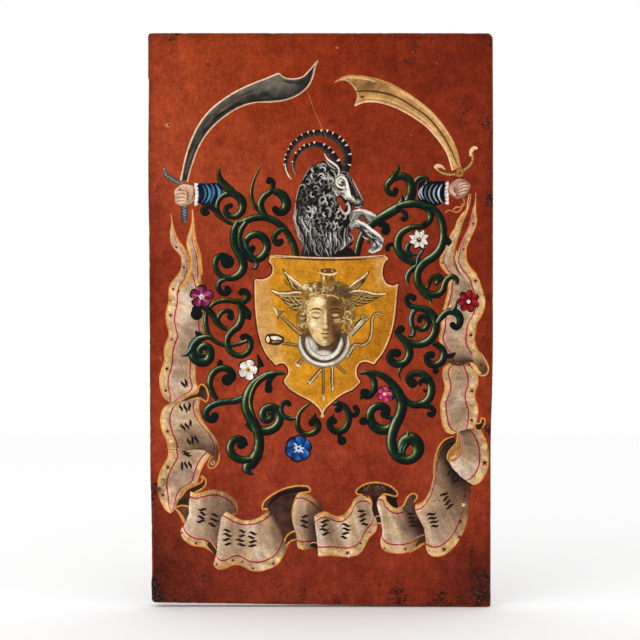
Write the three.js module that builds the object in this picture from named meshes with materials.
// A painted coat-of-arms panel: one thick wooden board that hangs on a wall.
// All of its figures are flat paint, so the solid is the board itself, with its true, slightly
// uneven outline and eased edges. Millimetres, +Z up. The origin is the middle of the back face,
// the back lies in the plane Y = 0 and the painted front looks along -Y.
import * as THREE from "three";

// Driving dimensions of the board.
const THICKNESS = 20;
const HALF_HEIGHT = 382.2; // middle of the back to the top edge, and to the lowest corner
const HALF_WIDTH = 229.9; // middle of the back to the widest place of the right-hand edge
const EDGE_EASE = 2.4; // how far the worn front and back arrises are rounded over
const EASE_STEPS = 3;

// The bottom was sawn a little out of square: it is higher at the left-hand corner.
const BOTTOM_LEFT_Z = -376.4;
const BOTTOM_RIGHT_Z = -HALF_HEIGHT;

// Corner radii, from rubbed-off at the top right to nearly sharp at the bottom right.
const TOP_LEFT_RADIUS = 4.6;
const TOP_RIGHT_RADIUS = 8.2;
const BOTTOM_LEFT_RADIUS = 5.2;
const BOTTOM_RIGHT_RADIUS = 3.4;
const CORNER_STEPS = 5;

// Hand-planed long edges: how far each lies inside HALF_WIDTH at a height on the board.
const LEFT_EDGE = [
  { z: 376, inset: 0.1 },
  { z: 323, inset: 0.1 },
  { z: 319, inset: 1.0 }, // a splinter broke away here
  { z: 240, inset: 0.3 },
  { z: 170, inset: 0.3 },
  { z: 120, inset: 1.3 },
  { z: -20, inset: 2.1 },
  { z: -200, inset: 2.9 },
  { z: -260, inset: 4.6 },
  { z: -330, inset: 5.3 },
  { z: -350, inset: 4.3 }, // a knock left a small swelling above the corner
  { z: -366, inset: 5.0 },
];
const RIGHT_EDGE = [
  { z: -372, inset: 3.4 },
  { z: -172, inset: 3.3 },
  { z: -138, inset: 2.7 },
  { z: -92, inset: 1.2 },
  { z: -40, inset: 0.3 },
  { z: 270, inset: 0.0 },
  { z: 364, inset: 0.5 },
];

// A rounded corner between the directions of two edges, as points on a circular arc.
function cornerArc(centreX, centreZ, radius, startAngle) {
  return Array.from({ length: CORNER_STEPS + 1 }, (_, i) => {
    const angle = startAngle - (i / CORNER_STEPS) * (Math.PI / 2);
    return new THREE.Vector2(
      centreX + radius * Math.cos(angle),
      centreZ + radius * Math.sin(angle),
    );
  });
}

// The points of a long edge on one side of the board, side being -1 for left and 1 for right.
function longEdge(edge, side) {
  return edge.map(({ z, inset }) => new THREE.Vector2(side * (HALF_WIDTH - inset), z));
}

// The board's outline, clockwise from the top left-hand corner.
function boardOutline() {
  const left = -HALF_WIDTH + LEFT_EDGE[0].inset;
  const right = HALF_WIDTH - RIGHT_EDGE.at(-1).inset;
  const lowLeft = -HALF_WIDTH + LEFT_EDGE.at(-1).inset;
  const lowRight = HALF_WIDTH - RIGHT_EDGE[0].inset;
  return [
    ...cornerArc(left + TOP_LEFT_RADIUS, HALF_HEIGHT - TOP_LEFT_RADIUS, TOP_LEFT_RADIUS, Math.PI),
    ...cornerArc(
      right - TOP_RIGHT_RADIUS,
      HALF_HEIGHT - TOP_RIGHT_RADIUS,
      TOP_RIGHT_RADIUS,
      Math.PI / 2,
    ),
    ...longEdge(RIGHT_EDGE, 1).reverse(),
    ...cornerArc(
      lowRight - BOTTOM_RIGHT_RADIUS,
      BOTTOM_RIGHT_Z + BOTTOM_RIGHT_RADIUS,
      BOTTOM_RIGHT_RADIUS,
      0,
    ),
    ...cornerArc(
      lowLeft + BOTTOM_LEFT_RADIUS,
      BOTTOM_LEFT_Z + BOTTOM_LEFT_RADIUS,
      BOTTOM_LEFT_RADIUS,
      -Math.PI / 2,
    ),
    ...longEdge(LEFT_EDGE, -1).reverse(),
  ];
}

// The board: the outline drawn in from its full size by the easing of the arrises, extruded and
// rounded over at both faces, then stood upright with its back in the plane Y = 0.
function paintedBoard() {
  const geometry = new THREE.ExtrudeGeometry(new THREE.Shape(boardOutline()), {
    depth: THICKNESS - 2 * EDGE_EASE,
    bevelEnabled: true,
    bevelThickness: EDGE_EASE,
    bevelSize: EDGE_EASE,
    bevelOffset: -EDGE_EASE,
    bevelSegments: EASE_STEPS,
    curveSegments: CORNER_STEPS,
  });
  geometry.translate(0, 0, EDGE_EASE);
  geometry.rotateX(Math.PI / 2);
  const paintedWood = new THREE.MeshStandardMaterial({
    color: "#983518",
    roughness: 0.6,
    metalness: 0,
  });
  const board = new THREE.Mesh(geometry, paintedWood);
  board.name = "painted_board";
  return board;
}

const plaque = new THREE.Group();
plaque.add(paintedBoard());

export default plaque;
